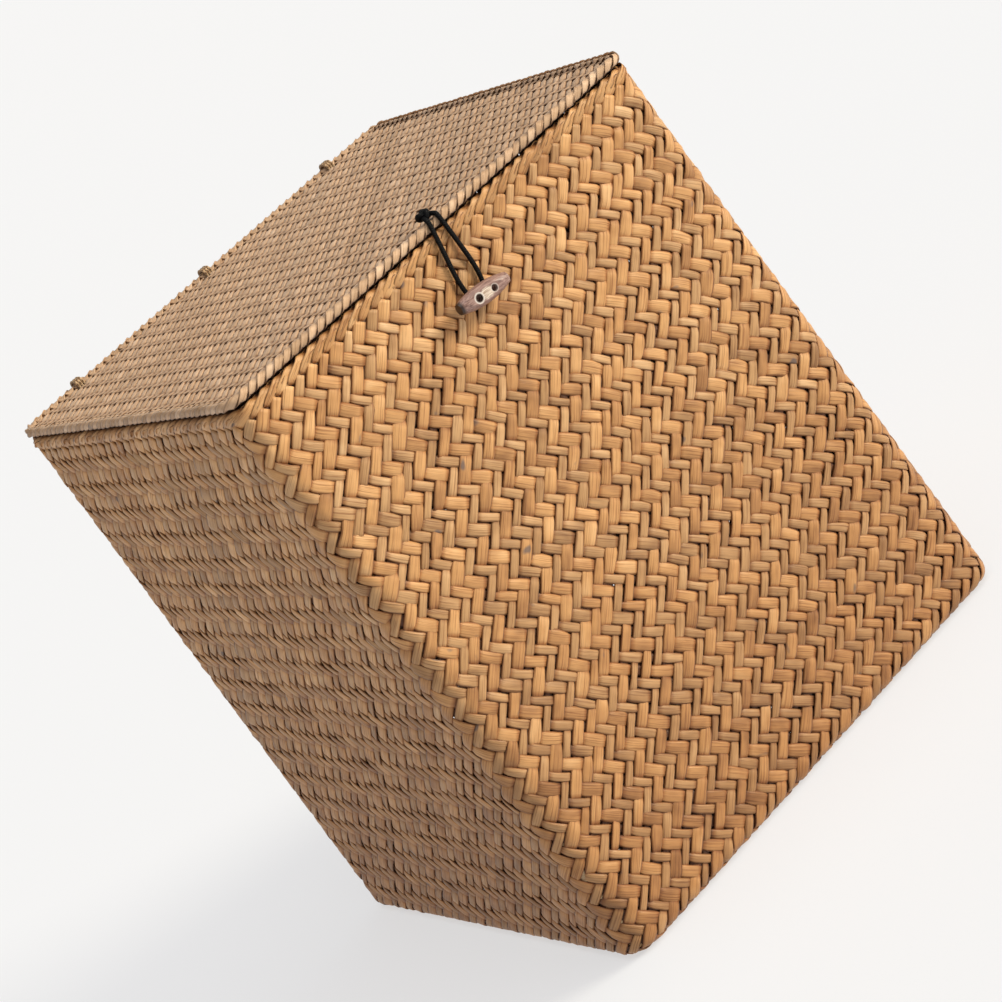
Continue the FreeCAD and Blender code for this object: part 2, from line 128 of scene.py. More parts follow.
class Nodes:
    # Short way to add and link nodes in one tree.
    def __init__(self, tree):
        self.tree = tree

    def add(self, kind, values=None, **settings):
        node = self.tree.nodes.new("ShaderNode" + kind)
        for key, value in settings.items():
            setattr(node, key, value)
        for key, value in (values or {}).items():
            self.feed(value, node.inputs[key])
        return node

    def feed(self, value, socket):
        if isinstance(value, bpy.types.NodeSocket):
            self.tree.links.new(value, socket)
        elif isinstance(value, bpy.types.Node):
            self.tree.links.new(value.outputs[0], socket)
        else:
            socket.default_value = value

    def math(self, operation, a, b=0.0, clamp=False):
        return self.add("Math", {0: a, 1: b}, operation=operation, use_clamp=clamp).outputs[0]

    def mix(self, factor, a, b, blend="MIX"):
        node = self.add("Mix", data_type="RGBA", blend_type=blend, clamp_factor=True)
        for key, value in ((0, factor), (6, a), (7, b)):
            self.feed(value, node.inputs[key])
        return node.outputs[2]

    def ramp(self, factor, stops):
        node = self.add("ValToRGB", {0: factor})
        ramp = node.color_ramp
        while len(ramp.elements) < len(stops):
            ramp.elements.new(0.5)
        for element, (position, colour) in zip(ramp.elements, stops):
            element.position = position
            element.color = (*colour, 1) if len(colour) == 3 else colour
        return node.outputs[0]

    def remap(self, value, low, high, newLow=0.0, newHigh=1.0):
        node = self.add("MapRange", {0: value, 1: low, 2: high, 3: newLow, 4: newHigh})
        return node.outputs[0]


def newMaterial(name):
    material = bpy.data.materials.new(name)
    material.use_nodes = True
    tree = material.node_tree
    tree.nodes.clear()
    nodes = Nodes(tree)
    shader = nodes.add("BsdfPrincipled")
    output = nodes.add("OutputMaterial")
    tree.links.new(shader.outputs[0], output.inputs[0])
    return material, nodes, shader


fibreSetup = {
    "strandStep": 3.7,                 # how far apart two strands are in the pattern
    "blotch": (38.0, 60.0, 0.0, 2.0),  # scale along and across, shift, detail
    "speck": (55.0, 90.0, 91.0, 1.0),
}


def fibreGroup(setup):
    # Streaks that run along a strand, blotches along its length, and rare dark specks.
    # Coord is (along, across, strand number) with both lengths in metres.
    tree = bpy.data.node_groups.new("plantFibre", "ShaderNodeTree")
    face = tree.interface
    face.new_socket("Coord", in_out="INPUT", socket_type="NodeSocketVector")
    for label in ("Along", "Across"):
        face.new_socket(label, in_out="INPUT", socket_type="NodeSocketFloat")
    for label in ("Streak", "Blotch", "Speck"):
        face.new_socket(label, in_out="OUTPUT", socket_type="NodeSocketFloat")
    nodes = Nodes(tree)
    entry = tree.nodes.new("NodeGroupInput")
    leave = tree.nodes.new("NodeGroupOutput")
    parts = nodes.add("SeparateXYZ", {0: entry.outputs["Coord"]})
    along = nodes.math("MULTIPLY", parts.outputs[0], entry.outputs["Along"])
    across = nodes.math("MULTIPLY", parts.outputs[1], entry.outputs["Across"])
    number = nodes.math("MULTIPLY", parts.outputs[2], setup["strandStep"])
    fine = nodes.add("CombineXYZ", {0: along, 1: across, 2: number})
    streak = nodes.add("TexNoise", {"Vector": fine, "Scale": 1.0, "Detail": 3.0, "Roughness": 0.6})

    def clouds(scaleAlong, scaleAcross, shift, detail):
        place = nodes.add("CombineXYZ", {0: nodes.math("MULTIPLY", parts.outputs[0], scaleAlong),
                                         1: nodes.math("MULTIPLY", parts.outputs[1], scaleAcross),
                                         2: nodes.math("ADD", number, shift)})
        return nodes.add("TexNoise", {"Vector": place, "Scale": 1.0, "Detail": detail, "Roughness": 0.5})

    blotch, speck = clouds(*setup["blotch"]), clouds(*setup["speck"])
    for socket, node in (("Streak", streak), ("Blotch", blotch), ("Speck", speck)):
        tree.links.new(node.outputs[0], leave.inputs[socket])
    return tree


plantFibre = fibreGroup(fibreSetup)


rushSetup = {                      # what the walls' and the lid's rush have in common
    "lines": (0.28, 0.5, 0.75), "lineShare": 0.85,
    "specks": (0.74, 0.8), "speckShare": 0.75,
    "depths": (0.0, 0.5, 0.82),    # under another strand, half way, on top
    "edges": (0.74, 0.98), "edgeWander": 0.25,
    "bumpDistance": 0.0006, "sheenRoughness": 0.45,
}


def rushMaterial(name, look, setup=rushSetup):
    # Strand colour: a pale and a grey kind, shifted by each strand's tone and by blotches,
    # lined by streaks, with painted shade where the strand dives under another one and along
    # its edges, and painted shade towards the foot.
    material, nodes, shader = newMaterial(name)
    coord = nodes.add("Attribute", attribute_name="strandCoord").outputs["Vector"]
    marks = nodes.add("Attribute", attribute_name="strandLook").outputs["Vector"]
    marks = nodes.add("SeparateXYZ", {0: marks})
    tone, kind, height = marks.outputs
    fibre = nodes.add("Group", node_tree=plantFibre)
    nodes.feed(coord, fibre.inputs["Coord"])
    fibre.inputs["Along"].default_value = look["streakAlong"]
    fibre.inputs["Across"].default_value = look["streakAcross"]
    streak, blotch, speck = fibre.outputs
    shade = nodes.math("ADD", nodes.math("MULTIPLY", tone, look["toneShare"]),
                       nodes.math("MULTIPLY", nodes.remap(blotch, 0.3, 0.7), 1 - look["toneShare"]))
    pale = nodes.ramp(shade, look["paleStops"])
    grey = nodes.ramp(shade, look["greyStops"])
    colour = nodes.mix(kind, pale, grey)
    lines = nodes.ramp(streak, list(zip(setup["lines"], (look["lineDark"], (1, 1, 1), look["lineLight"]))))
    colour = nodes.mix(setup["lineShare"], colour, lines, "MULTIPLY")
    spotted = nodes.math("MULTIPLY", nodes.remap(speck, *setup["specks"]), setup["speckShare"])
    colour = nodes.mix(spotted, colour, look["speckColour"])
    # Painted shade: the colour darkens where the strand dives under another one.
    depth = nodes.ramp(height, list(zip(setup["depths"], (look["deepShade"], look["midShade"], (1, 1, 1)))))
    colour = nodes.mix(1.0, colour, depth, "MULTIPLY")
    # Painted shade: a dark band along each strand's side edges, as a contact shadow.
    edge = nodes.add("Attribute", attribute_name="strandEdge").outputs["Fac"]
    wander = nodes.math("MULTIPLY", nodes.math("SUBTRACT", blotch, 0.5), setup["edgeWander"])
    edge = nodes.math("ADD", edge, wander)
    border = nodes.ramp(edge, list(zip(setup["edges"], ((1, 1, 1), look["edgeShade"]))))
    colour = nodes.mix(1.0, colour, border, "MULTIPLY")
    # Painted shade: the colour darkens towards the foot.
    level = nodes.add("SeparateXYZ", {0: nodes.add("TexCoord").outputs["Object"]}).outputs[2]
    level = nodes.remap(level, 0.0, look["footShadeTop"])
    footShaded = nodes.ramp(level, [(0.0, look["footShade"]), (1.0, (1, 1, 1))])
    colour = nodes.mix(1.0, colour, footShaded, "MULTIPLY")
    nodes.feed(colour, shader.inputs["Base Color"])
    nodes.feed(nodes.remap(streak, 0.3, 0.7, *look["roughness"]),
               shader.inputs["Roughness"])
    bump = nodes.add("Bump", {"Strength": look["bump"], "Distance": setup["bumpDistance"], "Height": streak})
    nodes.feed(bump.outputs[0], shader.inputs["Normal"])
    shader.inputs["Specular IOR Level"].default_value = look["specular"]
    shader.inputs["Sheen Weight"].default_value = look["sheen"]
    shader.inputs["Sheen Roughness"].default_value = setup["sheenRoughness"]
    return material


wallLook = {
    "streakAlong": 26.0, "streakAcross": 1100.0,
    "paleStops": [(0.1, (0.350, 0.162, 0.055)), (0.42, (0.530, 0.268, 0.098)),
                  (0.7, (0.630, 0.338, 0.131)), (0.95, (0.740, 0.435, 0.195))],
    "greyStops": [(0.1, (0.340, 0.176, 0.071)), (0.45, (0.470, 0.261, 0.110)),
                  (0.75, (0.570, 0.330, 0.148)), (0.95, (0.660, 0.407, 0.199))],
    "lineDark": (0.46, 0.32, 0.21), "lineLight": (1.14, 1.10, 1.04), "toneShare": 0.42,
    "speckColour": (0.10, 0.085, 0.09, 1), "deepShade": (0.15, 0.08, 0.045),
    "midShade": (0.72, 0.58, 0.46), "edgeShade": (0.50, 0.35, 0.25),
    "roughness": (0.60, 0.42), "bump": 0.7, "specular": 0.4, "sheen": 0.05,
    "footShadeTop": 0.30, "footShade": (0.72, 0.64, 0.56),
}
lidLook = {
    "streakAlong": 40.0, "streakAcross": 1500.0,
    "paleStops": [(0.1, (0.40, 0.245, 0.130)), (0.42, (0.52, 0.325, 0.182)),
                  (0.7, (0.60, 0.385, 0.225)), (0.95, (0.70, 0.48, 0.305))],
    "greyStops": [(0.1, (0.38, 0.24, 0.140)), (0.45, (0.49, 0.32, 0.190)),
                  (0.75, (0.57, 0.38, 0.235)), (0.95, (0.67, 0.47, 0.31))],
    "lineDark": (0.60, 0.48, 0.38), "lineLight": (1.1, 1.08, 1.04), "toneShare": 0.35,
    "speckColour": (0.16, 0.13, 0.12, 1), "deepShade": (0.09, 0.05, 0.03),
    "midShade": (0.52, 0.40, 0.31), "edgeShade": (0.55, 0.42, 0.33),
    "roughness": (0.7, 0.5), "bump": 0.4, "specular": 0.45, "sheen": 0.16,
    "footShadeTop": 0.01, "footShade": (1, 1, 1),
}
wallRush = rushMaterial("wallRush", wallLook)
lidRush = rushMaterial("lidRush", lidLook)


def plainFibre(name, light, dark, scale, roughness):
    # Cane and twine: long fine grain on object coordinates.
    material, nodes, shader = newMaterial(name)
    place = nodes.add("TexCoord").outputs["Object"]
    stretch = nodes.add("Mapping", {"Vector": place, "Scale": scale})
    grain = nodes.add("TexNoise", {"Vector": stretch, "Scale": 1.0, "Detail": 4.0})
    colour = nodes.ramp(grain, [(0.3, dark), (0.7, light)])
    nodes.feed(colour, shader.inputs["Base Color"])
    bump = nodes.add("Bump", {"Strength": 0.3, "Distance": 0.0004, "Height": grain.outputs[0]})
    nodes.feed(bump.outputs[0], shader.inputs["Normal"])
    shader.inputs["Roughness"].default_value = roughness
    return material


cane = plainFibre("peeledCane", (0.62, 0.42, 0.21), (0.36, 0.21, 0.09), (900, 900, 14), 0.45)
bentCane = plainFibre("bentCane", (0.60, 0.40, 0.20), (0.38, 0.23, 0.10), (160, 160, 900), 0.45)
turnedWood = plainFibre("turnedWood", (0.42, 0.25, 0.14), (0.24, 0.13, 0.07), (90, 900, 900), 0.5)


def braidGroup():
    # Two crossed waves round a cord. Coord is (along, turn share, number).
    tree = bpy.data.node_groups.new("cordBraid", "ShaderNodeTree")
    face = tree.interface
    face.new_socket("Coord", in_out="INPUT", socket_type="NodeSocketVector")
    face.new_socket("Pitch", in_out="INPUT", socket_type="NodeSocketFloat")
    face.new_socket("Yarns", in_out="INPUT", socket_type="NodeSocketFloat")
    face.new_socket("Height", in_out="OUTPUT", socket_type="NodeSocketFloat")
    nodes = Nodes(tree)
    entry = tree.nodes.new("NodeGroupInput")
    leave = tree.nodes.new("NodeGroupOutput")
    parts = nodes.add("SeparateXYZ", {0: entry.outputs["Coord"]})
    along = nodes.math("MULTIPLY", parts.outputs[0], entry.outputs["Pitch"])
    around = nodes.math("MULTIPLY", parts.outputs[1], entry.outputs["Yarns"])
    rise = nodes.math("SINE", nodes.math("ADD", along, around))
    fall = nodes.math("SINE", nodes.math("SUBTRACT", along, around))
    tree.links.new(nodes.math("MAXIMUM", rise, fall), leave.inputs["Height"])
    return tree


cordBraid = braidGroup()


def braidedMaterial(name, dark, light, pitch, yarns, roughness, gloss, depth):
    # Cord colour and bump from the braid's height, with painted shade in the grooves between
    # yarns. Pitch is in radians for each metre of cord.
    material, nodes, shader = newMaterial(name)
    braid = nodes.add("Group", node_tree=cordBraid)
    nodes.feed(nodes.add("Attribute", attribute_name="strandCoord").outputs["Vector"], braid.inputs["Coord"])
    braid.inputs["Pitch"].default_value = pitch
    braid.inputs["Yarns"].default_value = 2 * math.pi * yarns
    height = braid.outputs["Height"]
    # Painted shade: the colour is darker in the grooves between yarns.
    nodes.feed(nodes.ramp(nodes.remap(height, -0.6, 1.0), [(0.0, dark), (1.0, light)]),
               shader.inputs["Base Color"])
    shader.inputs["Roughness"].default_value = roughness
    shader.inputs["Specular IOR Level"].default_value = gloss
    bump = nodes.add("Bump", {"Strength": 0.7, "Distance": depth, "Height": height})
    nodes.feed(bump.outputs[0], shader.inputs["Normal"])
    return material


elasticBlack = braidedMaterial("elasticCover", (0.0006, 0.0006, 0.0007), (0.004, 0.004, 0.0045),
                               3600.0, 6, 0.55, 0.14, 0.0003)
twine = braidedMaterial("waxedTwine", (0.26, 0.16, 0.085), (0.54, 0.36, 0.20), 1700.0, 2, 0.65, 0.4, 0.0004)

toggleSetup = {
    "centre": (-0.008, -0.201299, 0.43), "tilt": 7.0,      # degrees, left end up
    "leftEnd": -0.0208,
    "eyes": ((-0.007, 0.0033, 0.85), (0.007, 0.0026, 0.45)),   # place, radius, strength of the pale ring
    "patch": (0.0004, 0.0064, 0.0042),    # middle, half length and half width of the pale patch
    "front": (-0.002, -0.0045),           # where the marks of the front begin and are full
    "tip": 0.0022,                        # length over which the left end darkens
}


def toggleMaterial(setup):
    # Mauve-brown turned wood: grain along the barrel, a dark left tip, a worn pale patch
    # between the eyes, a pale ring round each eye, and painted shade in each eye.
    material, nodes, shader = newMaterial("toggleWood")
    place = nodes.add("TexCoord").outputs["Object"]
    moved = nodes.add("VectorMath", {0: place, 1: setup["centre"]}, operation="SUBTRACT").outputs[0]
    turned = nodes.add("Mapping", {"Vector": moved, "Rotation": (0, math.radians(-setup["tilt"]), 0)})
    local = nodes.add("SeparateXYZ", {0: turned.outputs[0]})
    grainPlace = nodes.add("Mapping", {"Vector": turned.outputs[0], "Scale": (120, 1500, 1500)})
    grain = nodes.add("TexNoise", {"Vector": grainPlace.outputs[0], "Scale": 1.0, "Detail": 4.0})
    colour = nodes.ramp(grain, [(0.28, (0.13, 0.066, 0.05)), (0.5, (0.27, 0.155, 0.125)),
                                (0.72, (0.42, 0.27, 0.225))])
    stretch = nodes.add("Mapping", {"Vector": moved, "Scale": (300, 300, 300)})
    cloud = nodes.add("TexNoise", {"Vector": stretch.outputs[0], "Scale": 1.0, "Detail": 3.0})
    along, across = local.outputs[0], local.outputs[2]
    middle, half, halfWide = setup["patch"]
    offset = nodes.math("DIVIDE", nodes.math("SUBTRACT", along, middle), half)
    aside = nodes.math("DIVIDE", across, halfWide)
    spread = nodes.math("ADD", nodes.math("MULTIPLY", offset, offset), nodes.math("MULTIPLY", aside, aside))
    spread = nodes.math("ADD", spread, nodes.math("MULTIPLY", cloud.outputs[0], 1.3))
    front = nodes.remap(local.outputs[1], *setup["front"])
    patch = nodes.math("MULTIPLY", nodes.remap(spread, 1.75, 1.15), front)
    cream = nodes.ramp(grain, [(0.36, (0.34, 0.22, 0.15)), (0.52, (0.70, 0.58, 0.46)),
                               (0.7, (0.84, 0.77, 0.68))])
    colour = nodes.mix(patch, colour, cream)
    for eye, radius, rim in setup["eyes"]:
        flat = nodes.add("CombineXYZ", {0: nodes.math("SUBTRACT", along, eye), 1: across})
        far = nodes.add("VectorMath", {0: flat.outputs[0]}, operation="LENGTH").outputs["Value"]
        ring = nodes.math("MULTIPLY", nodes.remap(far, radius * 1.32, radius * 1.12), front)
        colour = nodes.mix(nodes.math("MULTIPLY", ring, rim), colour, (0.74, 0.67, 0.60, 1))
        # Painted shade: a dark disc a little wider than the hole, as in a countersunk eye.
        eyeShade = nodes.math("MULTIPLY", nodes.remap(far, radius * 1.05, radius * 0.8), front)
        colour = nodes.mix(eyeShade, colour, (0.035, 0.016, 0.008, 1))
    tip = nodes.remap(along, setup["leftEnd"] + setup["tip"], setup["leftEnd"])
    colour = nodes.mix(tip, colour, (0.03, 0.016, 0.011, 1))
    nodes.feed(colour, shader.inputs["Base Color"])
    nodes.feed(nodes.remap(cloud.outputs[0], 0.3, 0.7, 0.28, 0.5), shader.inputs["Roughness"])
    bump = nodes.add("Bump", {"Strength": 0.4, "Distance": 0.0002, "Height": grain.outputs[0]})
    nodes.feed(bump.outputs[0], shader.inputs["Normal"])
    return material


def paint(material, *labels):
    for label in labels:
        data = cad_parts[label].data
        data.materials.clear()
        data.materials.append(material)


paint(toggleMaterial(toggleSetup), "toggle")
paint(turnedWood, "backing_button")
paint(cane, *[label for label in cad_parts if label.startswith("corner_post")])
paint(bentCane, "top_hoop", "base_hoop", "lid_hoop")


def floorMaterial(setup):
    material, nodes, shader = newMaterial("paleFloor")
    shader.inputs["Base Color"].default_value = (*setup["colour"], 1)
    shader.inputs["Roughness"].default_value = 0.9
    shader.inputs["Emission Color"].default_value = (1, 1, 1, 1)
    shader.inputs["Emission Strength"].default_value = setup["glow"]
    return material


def placeFloor(setup):
    half = setup["halfSize"]
    data = bpy.data.meshes.new("floor")
    data.from_pydata([(-half, -half, 0), (half, -half, 0), (half, half, 0), (-half, half, 0)],
                     [], [(0, 1, 2, 3)])
    data.materials.append(floorMaterial(setup))
    floor = bpy.data.objects.new("floor", data)
    bpy.context.scene.collection.objects.link(floor)


placeFloor(floorSetup)
print("materials ready")


def roundedOutline(part, halfX, halfY, radius):
    # Point and outward direction at a share of the way round a rounded rectangle. It starts at
    # the middle of the -y side and runs towards +x. One quarter is worked out and mirrored.
    quarter = (halfX - radius) + math.pi / 2 * radius + (halfY - radius)
    length = (part % 1.0) * 4 * quarter
    number = np.minimum(np.floor(length / quarter), 3)
    local = length - number * quarter
    odd = (number == 1) | (number == 3)
    local = np.where(odd, quarter - local, local)
    straight = halfX - radius
    angle = np.clip((local - straight) / radius, 0, math.pi / 2)
    x = np.minimum(local, straight) + radius * np.sin(angle)
    rest = np.maximum(local - straight - radius * math.pi / 2, 0)
    y = -halfY + radius - radius * np.cos(angle) + rest
    signX = np.where((number == 2) | (number == 3), -1.0, 1.0)
    signY = np.where((number == 1) | (number == 2), -1.0, 1.0)
    point = np.stack([x * signX, y * signY], -1)
    out = np.stack([np.sin(angle) * signX, -np.cos(angle) * signY], -1)
    return point, out


def unit(vectors):
    return vectors / np.maximum(np.linalg.norm(vectors, axis=-1, keepdims=True), 1e-12)


def neighbours(strand):
    # For samples listed strand after strand: the sample before and after within one strand.
    count = len(strand)
    first = np.r_[True, strand[1:] != strand[:-1]]
    last = np.r_[strand[1:] != strand[:-1], True]
    index = np.arange(count)
    return first, last, np.where(first, index, index - 1), np.where(last, index, index + 1)


lensSection = np.array([(-1.0, 0.0), (-0.62, -0.86), (0.62, -0.86), (1.0, 0.0), (0.62, 0.86), (-0.62, 0.86)])


def roundSection(count):
    turn = np.arange(count) * 2 * math.pi / count
    return np.stack([np.cos(turn), np.sin(turn)], -1)


def ribbonMesh(name, strand, centre, normal, halfWidth, halfThick, coord, look,
               material, section=lensSection, closed=False, border=1.0):
    # A section carried along each strand: centre + side * halfWidth * a + normal * halfThick * b,
    # where side is at right angles to the strand's direction and to the surface's normal.
    first, last, before, after = neighbours(strand)
    if closed:
        starts, ends = np.flatnonzero(first), np.flatnonzero(last)
        before[starts], after[ends] = ends, starts
    direction = unit(centre[after] - centre[before])
    side = unit(np.cross(direction, normal))
    lift = unit(np.cross(side, direction))
    ring = len(section)
    a, b = section[:, 0][None, :, None], section[:, 1][None, :, None]
    width = np.broadcast_to(halfWidth, len(strand))[:, None, None]
    thick = np.broadcast_to(halfThick, len(strand))[:, None, None]
    points = centre[:, None] + side[:, None] * width * a + lift[:, None] * thick * b
    here = np.arange(len(strand)) if closed else np.flatnonzero(~last)
    there = after[here]
    k = np.arange(ring)
    k2 = (k + 1) % ring
    quads = np.stack([here[:, None] * ring + k, here[:, None] * ring + k2,
                      there[:, None] * ring + k2, there[:, None] * ring + k], -1).reshape(-1, 4)
    loops = quads.ravel()
    sizes = np.full(len(quads), 4)
    if not closed:
        heads = (np.flatnonzero(first)[:, None] * ring + k[::-1]).ravel()
        tails = (np.flatnonzero(last)[:, None] * ring + k).ravel()
        loops = np.concatenate([loops, heads, tails])
        sizes = np.concatenate([sizes, np.full(2 * int(first.sum()), ring)])
    mesh = bpy.data.meshes.new(name)
    mesh.vertices.add(points.shape[0] * ring)
    mesh.vertices.foreach_set("co", points.astype(np.float32).ravel())
    mesh.loops.add(len(loops))
    mesh.loops.foreach_set("vertex_index", loops.astype(np.int32))
    mesh.polygons.add(len(sizes))
    mesh.polygons.foreach_set("loop_start", np.r_[0, np.cumsum(sizes)[:-1]].astype(np.int32))
    mesh.polygons.foreach_set("use_smooth", np.ones(len(sizes), bool))
    acrossShare = section[:, 0][None, :] * np.broadcast_to(halfWidth, len(strand))[:, None]
    fullCoord = np.stack([np.repeat(coord[:, 0], ring), acrossShare.ravel() if section is lensSection
                          else np.tile(k / ring, len(strand)), np.repeat(coord[:, 1], ring)], -1)
    for label, values in (("strandCoord", fullCoord), ("strandLook", np.repeat(look, ring, axis=0))):
        layer = mesh.attributes.new(label, "FLOAT_VECTOR", "POINT")
        layer.data.foreach_set("vector", values.astype(np.float32).ravel())
    edge = mesh.attributes.new("strandEdge", "FLOAT", "POINT")
    shares = np.abs(section[:, 0]) * border if section is lensSection else np.zeros(ring)
    edge.data.foreach_set("value", np.tile(shares, len(strand)).astype(np.float32))
    mesh.update()
    mesh.validate()
    mesh.materials.append(material)
    piece = bpy.data.objects.new(name, mesh)
    bpy.context.scene.collection.objects.link(piece)
    return piece


def twill(row, duty):
    # Height of a rising strand in a 2/2 twill, from -1 (under) to 1 (over), by row number.
    steep, sag = 2.3, 0.10
    wave = np.cos(math.pi * (row - 0.5) / 2) - duty
    return np.tanh(steep * wave) / math.tanh(steep) * (1 - sag * np.abs(np.sin(math.pi * row)))


strandSetup = {"swapped": 0.08, "widths": (1.15, 0.83), "limits": (0.7, 1.3)}


def strandRandoms(count, spread=0.06, setup=strandSetup):
    # Per strand: tone, kind by turns with a few swapped, and width by turns with some spread.
    tone = random.random(count)
    even = np.arange(count) % 2 == 0
    kind = np.where(even, 0.0, 1.0)
    kind = np.where(random.random(count) < setup["swapped"], 1 - kind, kind)
    share = np.where(even, *setup["widths"]) * (1 + spread * random.standard_normal(count))
    return tone, kind, np.clip(share, *setup["limits"])


def drawnAlong(values, strand, place):
    # Straight line between the two drawn values on either side of a place along each strand.
    low = place.astype(int)
    high = np.minimum(low + 1, values.shape[1] - 1)
    return values[strand, low] * (1 - place % 1) + values[strand, high] * (place % 1)


rimLow, rimHigh = [np.array(corner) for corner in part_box("rim_fold")]
wallHigh = np.array(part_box("woven_wall")[1])
wallSetup = {
    "strandsAround": 130,       # per direction
    "rowHeight": 6.0 * millimetre,   # height from one row of crossings to the next
    "skin": 5.0 * millimetre,   # whole thickness, as in the frame
    "strandThickness": 1.9 * millimetre,
    "lift": 0.98 * millimetre,  # how far over and under the middle a strand goes
    "samplesPerRow": 3,
    "duty": -0.10,              # below zero gives the falling strands shorter floats
    "cornerTop": 15 * millimetre,
    "cornerFoot": 24 * millimetre,
    "footBend": 10 * millimetre,
    "tuck": 16 * millimetre,    # length turned in under the basket
    "pieces": 3,
    "endLength": 1.5 * millimetre,           # how far the strands run past the wall's top
    "leanShare": 0.0007, "rowWave": 0.7 * millimetre, "climbTop": 0.48,
    "calm": (40 * millimetre, 50 * millimetre),    # the unevenness fades in and out over these
    # Each wave: share, waves round the basket, radians for each metre up, phase.
    "leanWaves": ((1.0, 7, 9, 0.0), (0.8, 16, -21, 1.3)),
    "rowWaves": ((1.0, 5, 0, 0.7), (0.9, 13, 17, 0.0), (0.6, 29, -40, 0.0)),
    "wander": 0.045, "wanderDraws": 12,      # sideways, as a share of the strands' spacing
    "swell": 0.07, "swellDraws": 64,
    "narrowing": 0.10,                       # strands are this much narrower underneath
    "tilt": 0.10, "swellTilt": 0.9,
    "roughTop": (85 * millimetre, 30 * millimetre),    # start below the top, and length of the change
    "roughLift": 0.22, "roughThick": 0.15, "roughTone": 0.14,
    "number": 1000.0,                        # keeps the rising strands' pattern apart
}
footHalf = wallHigh[:2]
rimHalf = rimHigh[:2]
foldLevel = wallHigh[2]


def wallSurface(part, climb, setup, offset):
    # Point and normal on the wall. climb is the length up the wall's middle layer from the floor
    # edge; below the bend it runs inward under the basket. offset is towards the outside.
    bend, half = setup["footBend"], setup["skin"] / 2
    arc = math.pi / 2 * (bend - half)
    start = setup["tuck"]
    turn = np.clip((climb - start) / arc, 0, 1) * math.pi / 2   # 0 is flat underneath
    flat = np.maximum(start - climb, 0)
    rise = np.maximum(climb - start - arc, 0)
    middle = bend - half + offset
    level = bend - middle * np.cos(turn) + rise
    inset = bend - middle * np.sin(turn) + flat
    share = np.clip(level / foldLevel, 0, 1)
    halfX = footHalf[0] + (rimHalf[0] - footHalf[0]) * share - inset
    halfY = footHalf[1] + (rimHalf[1] - footHalf[1]) * share - inset
    corner = setup["cornerFoot"] + (setup["cornerTop"] - setup["cornerFoot"]) * share - inset
    corner = np.maximum(corner, 1.5 * millimetre)
    point, out = roundedOutline(part, halfX, halfY, corner)
    place = np.concatenate([point, level[..., None]], -1)
    normal = out * np.sin(turn)[..., None]
    return place, np.concatenate([normal, -np.cos(turn)[..., None]], -1)


def slowWaves(turn, climb, waves):
    # Sum of share * sin(around * turn + up * climb + phase).
    return sum(share * np.sin(around * turn + up * climb + phase) for share, around, up, phase in waves)


def loosen(part, climb, setup):
    # The same slow unevenness for both directions: rows that wave a little and columns that lean.
    turn = 2 * math.pi * part
    lean = slowWaves(turn, climb, setup["leanWaves"])
    wave = slowWaves(turn, climb, setup["rowWaves"])
    fadeIn, fadeOut = setup["calm"]
    hold = np.clip(climb / fadeIn, 0, 1) * np.clip((setup["climbTop"] - climb) / fadeOut, 0, 1)
    return part + hold * setup["leanShare"] * lean, climb + hold * setup["rowWave"] * wave


def wallStrands(setup):
    # Two families of strands that climb the walls on opposite slants, over and under each other.
    # A strand moves half a spacing sideways for each row that it climbs.
    bend, half = setup["footBend"], setup["skin"] / 2
    arc = math.pi / 2 * (bend - half)
    total = setup["tuck"] + arc + (foldLevel - bend) + setup["endLength"]
    rows = total / setup["rowHeight"]
    samples = int(rows * setup["samplesPerRow"]) + 1
    count = setup["strandsAround"]
    pitch = 4 * (footHalf.sum() + rimHalf.sum()) / 2 / count * math.sqrt(0.5)
    for family, sign in (("rising", 1), ("falling", -1)):
        tone, kind, share = strandRandoms(count)
        wander = setup["wander"] * random.standard_normal((count, setup["wanderDraws"]))
        swell = setup["swell"] * random.standard_normal((count, setup["swellDraws"]))
        chunks = np.array_split(np.arange(count), setup["pieces"])
        for number, chunk in enumerate(chunks):
            strand = np.repeat(chunk, samples)
            row = np.tile(np.arange(samples) / (samples - 1) * rows, len(chunk))
            drift = drawnAlong(wander, strand, row / rows * (setup["wanderDraws"] - 1))
            part = (strand + sign * row / 2 + drift) / count
            climb = row * setup["rowHeight"]
            height = sign * twill(row, setup["duty"])
            below, change = setup["roughTop"]
            rough = np.clip((climb - (total - below)) / change, 0, 1)
            lift = setup["lift"] * (1 + setup["roughLift"] * rough)
            part, level = loosen(part, climb, setup)
            centre, normal = wallSurface(part, level, setup, height * lift)
            shown = (height + 1) / 2
            lastPlace = setup["swellDraws"] - 1.01    # just short of the last draw
            local = drawnAlong(swell, strand, np.minimum(row / rows * lastPlace, lastPlace))
            width = pitch / 2 * share[strand] * (1 - setup["narrowing"] * (1 - shown)) * (1 + local)
            tilt = (setup["tilt"] * random.standard_normal(count))[strand] + setup["swellTilt"] * local
            thick = setup["strandThickness"] / 2 * (1 + setup["roughThick"] * rough)
            side = np.cross(normal, np.broadcast_to(upward, normal.shape))
            lean = unit(normal + tilt[:, None] * side)
            coord = np.stack([climb * math.sqrt(2), strand + setup["number"] * (sign > 0)], -1)
            look = np.stack([tone[strand] + setup["roughTone"] * rough, kind[strand], shown], -1)
            name = "wallStrands_%s_%d" % (family, number + 1)
            piece = ribbonMesh(name, strand, centre, lean, width, thick, coord, look, wallRush)
            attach(piece, "basket")
            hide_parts("woven_wall")
        if family == "rising":
            tops = {"along": (np.arange(count) + rows / 2 + wander[:, -1]) / count,
                    "tone": tone, "kind": kind, "share": share}
    return tops


risingTops = wallStrands(wallSetup)
print("walls plaited")


